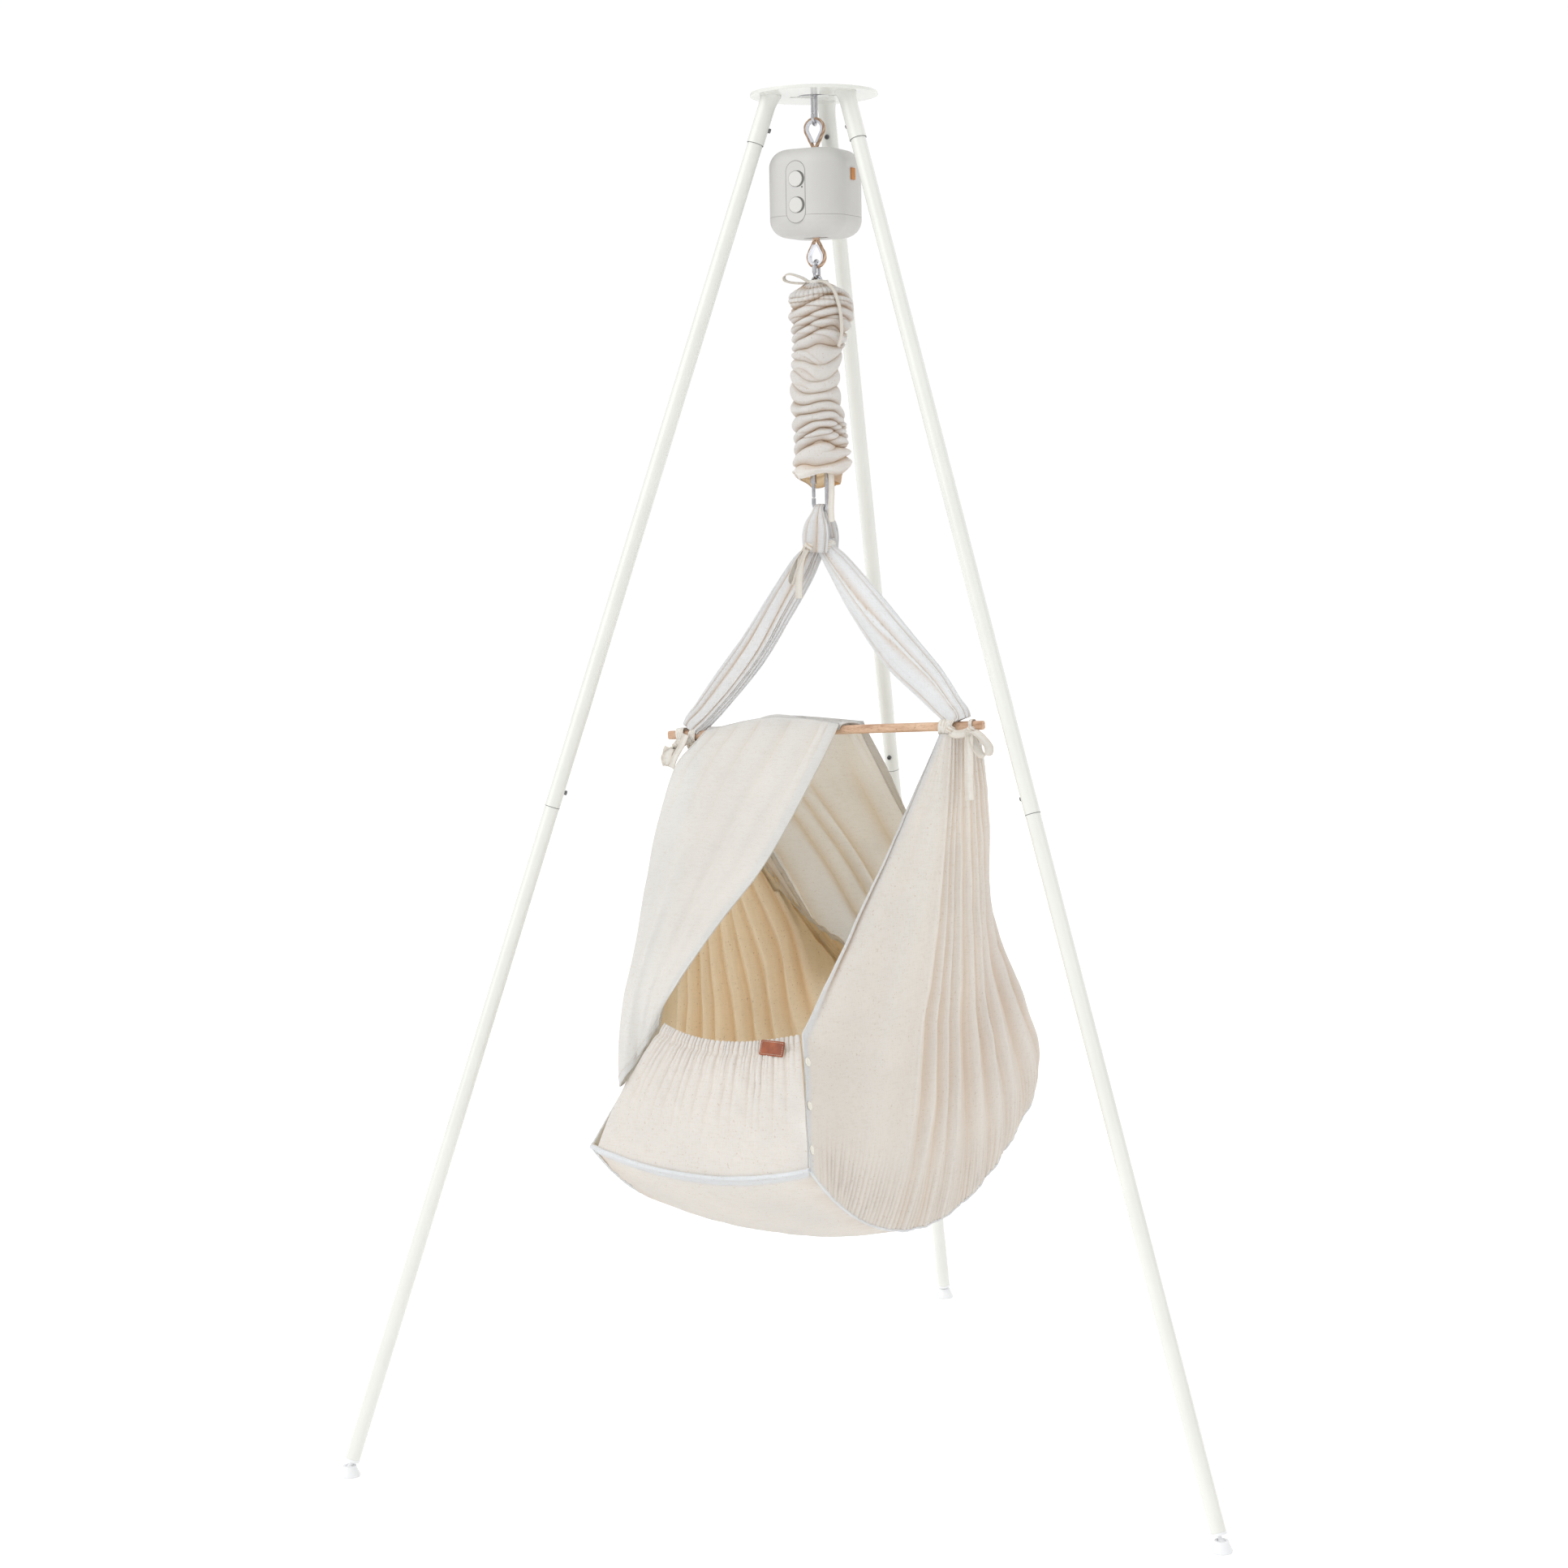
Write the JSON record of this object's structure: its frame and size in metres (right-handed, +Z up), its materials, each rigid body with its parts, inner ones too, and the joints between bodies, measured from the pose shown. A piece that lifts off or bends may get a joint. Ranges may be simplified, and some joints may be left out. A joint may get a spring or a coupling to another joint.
{
  "type": "baby swing cradle",
  "caption": "Spring cradle on a tall tripod stand: a cotton hammock with mattress, spreader bar and canopy hangs from a spring and a small rocking drive.",
  "frame": {"origin": "on the floor, at the middle of the object's box", "axes": "+Z up; +Y towards the rear leg; +X to the right of somebody who faces the two front legs"},
  "size_m": [1.3036, 1.1711, 2.0095],
  "materials": {
    "stand_paint": "gloss powder coat, off-white",
    "foot_plastic": "milky moulded plastic",
    "bright_steel": "polished steel",
    "spring_steel": "drawn spring steel",
    "thimble_zinc": "zinc plated",
    "rope_fibre": "braided beige rope",
    "case_plastic": "fine matt moulded shell",
    "lens_plastic": "dark window",
    "inner_plastic": "moulded",
    "tan_leather": "vegetable tanned",
    "spreader_wood": "oiled, open grain",
    "natural_cotton": "unbleached cotton with flecks",
    "mattress_cover": "cotton cover over foam",
    "snap_plastic": "moulded snap caps"
  },
  "bodies": {
    "stand": {"top_plate": "stand_paint", "hanger_bar": "stand_paint", "socket_left": "stand_paint", "socket_right": "stand_paint", "socket_rear": "stand_paint", "upper_tube_left": "stand_paint", "upper_tube_right": "stand_paint", "upper_tube_rear": "stand_paint", "lower_tube_left": "stand_paint", "lower_tube_right": "stand_paint", "lower_tube_rear": "stand_paint", "joint_screws": "bright_steel", "foot_plugs": "foot_plastic"},
    "pad_left": {"foot_pad_left": "foot_plastic"},
    "pad_right": {"foot_pad_right": "foot_plastic"},
    "pad_rear": {"foot_pad_rear": "foot_plastic"},
    "hook": {"top_carabiner": "bright_steel"},
    "hook_gate": {"top_gate": "bright_steel"},
    "drive": {"upper_rope_loop": "rope_fibre", "upper_thimble": "thimble_zinc", "motor_upper_shell": "case_plastic", "motor_lower_shell": "case_plastic", "control_panel": "case_plastic", "led_lens": "lens_plastic", "leather_tag": "tan_leather", "chassis": "spring_steel", "gear_motor": "spring_steel", "battery_pack": "inner_plastic", "circuit_board": "inner_plastic"},
    "key_upper": {"button_upper": "case_plastic"},
    "key_lower": {"button_lower": "case_plastic"},
    "drum": {"winch_drum": "spring_steel"},
    "lift": {"lift_strap": "rope_fibre", "lower_rope_loop": "rope_fibre", "lower_thimble": "thimble_zinc", "spring_link": "bright_steel", "spring_top_eye": "spring_steel", "suspension_spring": "spring_steel", "spring_cover": "natural_cotton"},
    "spring_end": {"spring_bottom_eye": "spring_steel"},
    "cradle": {"lower_carabiner": "bright_steel", "strap_loop": "natural_cotton", "top_tie": "natural_cotton", "strap_left": "natural_cotton", "strap_right": "natural_cotton", "bar_tie_left": "natural_cotton", "bar_tie_right": "natural_cotton", "spreader_bar": "spreader_wood", "side_wing_left": "natural_cotton", "side_wing_right": "natural_cotton", "base_sling": "natural_cotton", "mattress": "mattress_cover", "head_panel": "natural_cotton", "snap_buttons": "snap_plastic", "canopy_sheet": "natural_cotton"},
    "flap": {"foot_panel": "natural_cotton", "leather_label": "tan_leather"},
    "lock_gate": {"lower_gate": "bright_steel"},
    "lock": {"lock_sleeve": "bright_steel"}
  },
  "joints": [
    {"name": "pad_tilt_left", "type": "hinge", "parent": "stand", "child": "pad_left", "pos_m": [-0.63678, -0.53239, 0.011], "axis": [0.5, -0.866, 0], "range_deg": [-6, 6]},
    {"name": "pad_tilt_right", "type": "hinge", "parent": "stand", "child": "pad_right", "pos_m": [0.63678, -0.53239, 0.011], "axis": [0.5, 0.866, 0], "range_deg": [-6, 6]},
    {"name": "pad_tilt_rear", "type": "hinge", "parent": "stand", "child": "pad_rear", "pos_m": [0, 0.57054, 0.011], "axis": [-1, 0, 0], "range_deg": [-6, 6]},
    {"name": "hanger_swing", "type": "hinge", "parent": "stand", "child": "hook", "pos_m": [0, -0.16475, 2], "axis": [1, 0, 0], "range_deg": [-4, 4]},
    {"name": "top_gate_open", "type": "hinge", "parent": "hook", "child": "hook_gate", "pos_m": [0, -0.17425, 1.9722], "axis": [-1, 0, 0], "range_deg": [0, 20], "stiffness_Nm_per_rad": 0.05, "springref_deg": -5.73},
    {"name": "motor_swing", "type": "hinge", "parent": "hook", "child": "drive", "pos_m": [0, -0.16475, 1.9545], "axis": [0, 1, 0], "range_deg": [-4, 4]},
    {"name": "button_upper_press", "type": "slide", "parent": "drive", "child": "key_upper", "axis": [0.2164, 0.9763, 0], "range_m": [0, 0.0016], "stiffness_N_per_m": 400},
    {"name": "button_lower_press", "type": "slide", "parent": "drive", "child": "key_lower", "axis": [0.2164, 0.9763, 0], "range_m": [0, 0.0016], "stiffness_N_per_m": 400},
    {"name": "lift_stroke", "type": "slide", "parent": "drive", "child": "lift", "axis": [0, 0, 1], "range_m": [0, 0.018]},
    {"name": "drum_turn", "type": "hinge", "parent": "drive", "child": "drum", "pos_m": [0, -0.16475, 1.85], "axis": [-0.2164, -0.9763, 0], "range_deg": [0, 86]},
    {"name": "bounce", "type": "slide", "parent": "lift", "child": "spring_end", "axis": [0, 0, 1], "range_m": [-0.1, 0.03], "stiffness_N_per_m": 620, "springref_m": 0.06534, "deforming": ["suspension_spring", "spring_cover"]},
    {"name": "cradle_twist", "type": "hinge", "parent": "spring_end", "child": "cradle", "pos_m": [0, -0.16475, 1.463], "axis": [0, 0, 1], "range_deg": [-12, 12]},
    {"name": "lower_gate_open", "type": "hinge", "parent": "cradle", "child": "lock_gate", "pos_m": [-0.01074, -0.16237, 1.4166], "axis": [0.2164, 0.9763, 0], "range_deg": [0, 20], "stiffness_Nm_per_rad": 0.06, "springref_deg": -5.73},
    {"name": "lock_sleeve_travel", "type": "slide", "parent": "lock_gate", "child": "lock", "axis": [0, 0, -1], "range_m": [0, 0.012]},
    {"name": "foot_panel_fold", "type": "hinge", "parent": "cradle", "child": "flap", "pos_m": [-0.08448, -0.5458, 0.5085], "axis": [0.9763, -0.2164, 0], "range_deg": [0, 100]}
  ],
  "couplings": [
    {"joint": "drum_turn", "follows": "lift_stroke", "rad_per_m": 83.333}
  ]
}
